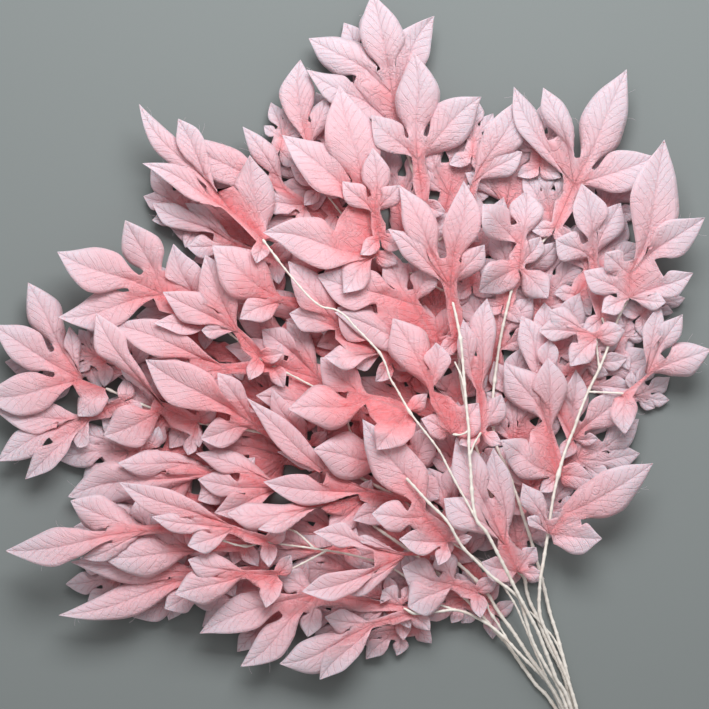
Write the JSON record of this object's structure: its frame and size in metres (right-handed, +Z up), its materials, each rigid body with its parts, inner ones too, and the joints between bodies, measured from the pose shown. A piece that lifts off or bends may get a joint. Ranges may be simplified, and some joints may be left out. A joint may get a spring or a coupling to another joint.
{
  "type": "artificial leaf branch",
  "caption": "Flat-lying artificial willow branch: pressed pink cloth leaves with long pointed lobes, tied along pale wire stems that gather in one taped handle.",
  "frame": {"origin": "middle of the bottom of the branch's box, on the surface it lies on", "axes": "+Z up from the surface, +Y from the handle towards the crown of leaves, +X to the right seen from above"},
  "size_m": [0.728, 0.905, 0.0779],
  "materials": {
    "leaf_cloth": "pressed cloth, matt, paler at the tips",
    "wire_coating": "satin cream coating over wire",
    "tape": "matt wound tape"
  },
  "bodies": {
    "root": {"tape_sleeve": "tape", "stem_1": "wire_coating", "stem_2": "wire_coating", "stem_3": "wire_coating", "stem_4": "wire_coating", "stem_5": "wire_coating", "stem_6": "wire_coating", "stem_7": "wire_coating", "stem_8": "wire_coating", "leaf_1": "leaf_cloth", "leaf_2": "leaf_cloth", "leaf_3": "leaf_cloth", "leaf_4": "leaf_cloth", "leaf_5": "leaf_cloth", "leaf_6": "leaf_cloth", "leaf_7": "leaf_cloth", "leaf_8": "leaf_cloth", "leaf_9": "leaf_cloth", "leaf_10": "leaf_cloth", "leaf_11": "leaf_cloth", "leaf_12": "leaf_cloth", "leaf_13": "leaf_cloth", "leaf_14": "leaf_cloth", "leaf_15": "leaf_cloth", "leaf_16": "leaf_cloth", "leaf_17": "leaf_cloth", "leaf_18": "leaf_cloth", "leaf_19": "leaf_cloth", "leaf_20": "leaf_cloth", "leaf_21": "leaf_cloth", "leaf_22": "leaf_cloth", "leaf_23": "leaf_cloth", "leaf_24": "leaf_cloth", "leaf_25": "leaf_cloth", "leaf_26": "leaf_cloth", "leaf_27": "leaf_cloth", "leaf_28": "leaf_cloth", "leaf_29": "leaf_cloth", "leaf_30": "leaf_cloth", "leaf_31": "leaf_cloth", "leaf_32": "leaf_cloth", "leaf_33": "leaf_cloth", "leaf_34": "leaf_cloth", "leaf_35": "leaf_cloth", "leaf_36": "leaf_cloth", "leaf_37": "leaf_cloth", "leaf_38": "leaf_cloth", "leaf_39": "leaf_cloth", "leaf_40": "leaf_cloth", "leaf_41": "leaf_cloth", "leaf_42": "leaf_cloth", "leaf_43": "leaf_cloth", "leaf_44": "leaf_cloth", "leaf_45": "leaf_cloth", "leaf_46": "leaf_cloth", "leaf_47": "leaf_cloth", "leaf_48": "leaf_cloth", "leaf_49": "leaf_cloth", "leaf_50": "leaf_cloth", "leaf_51": "leaf_cloth"}
  },
  "joints": []
}
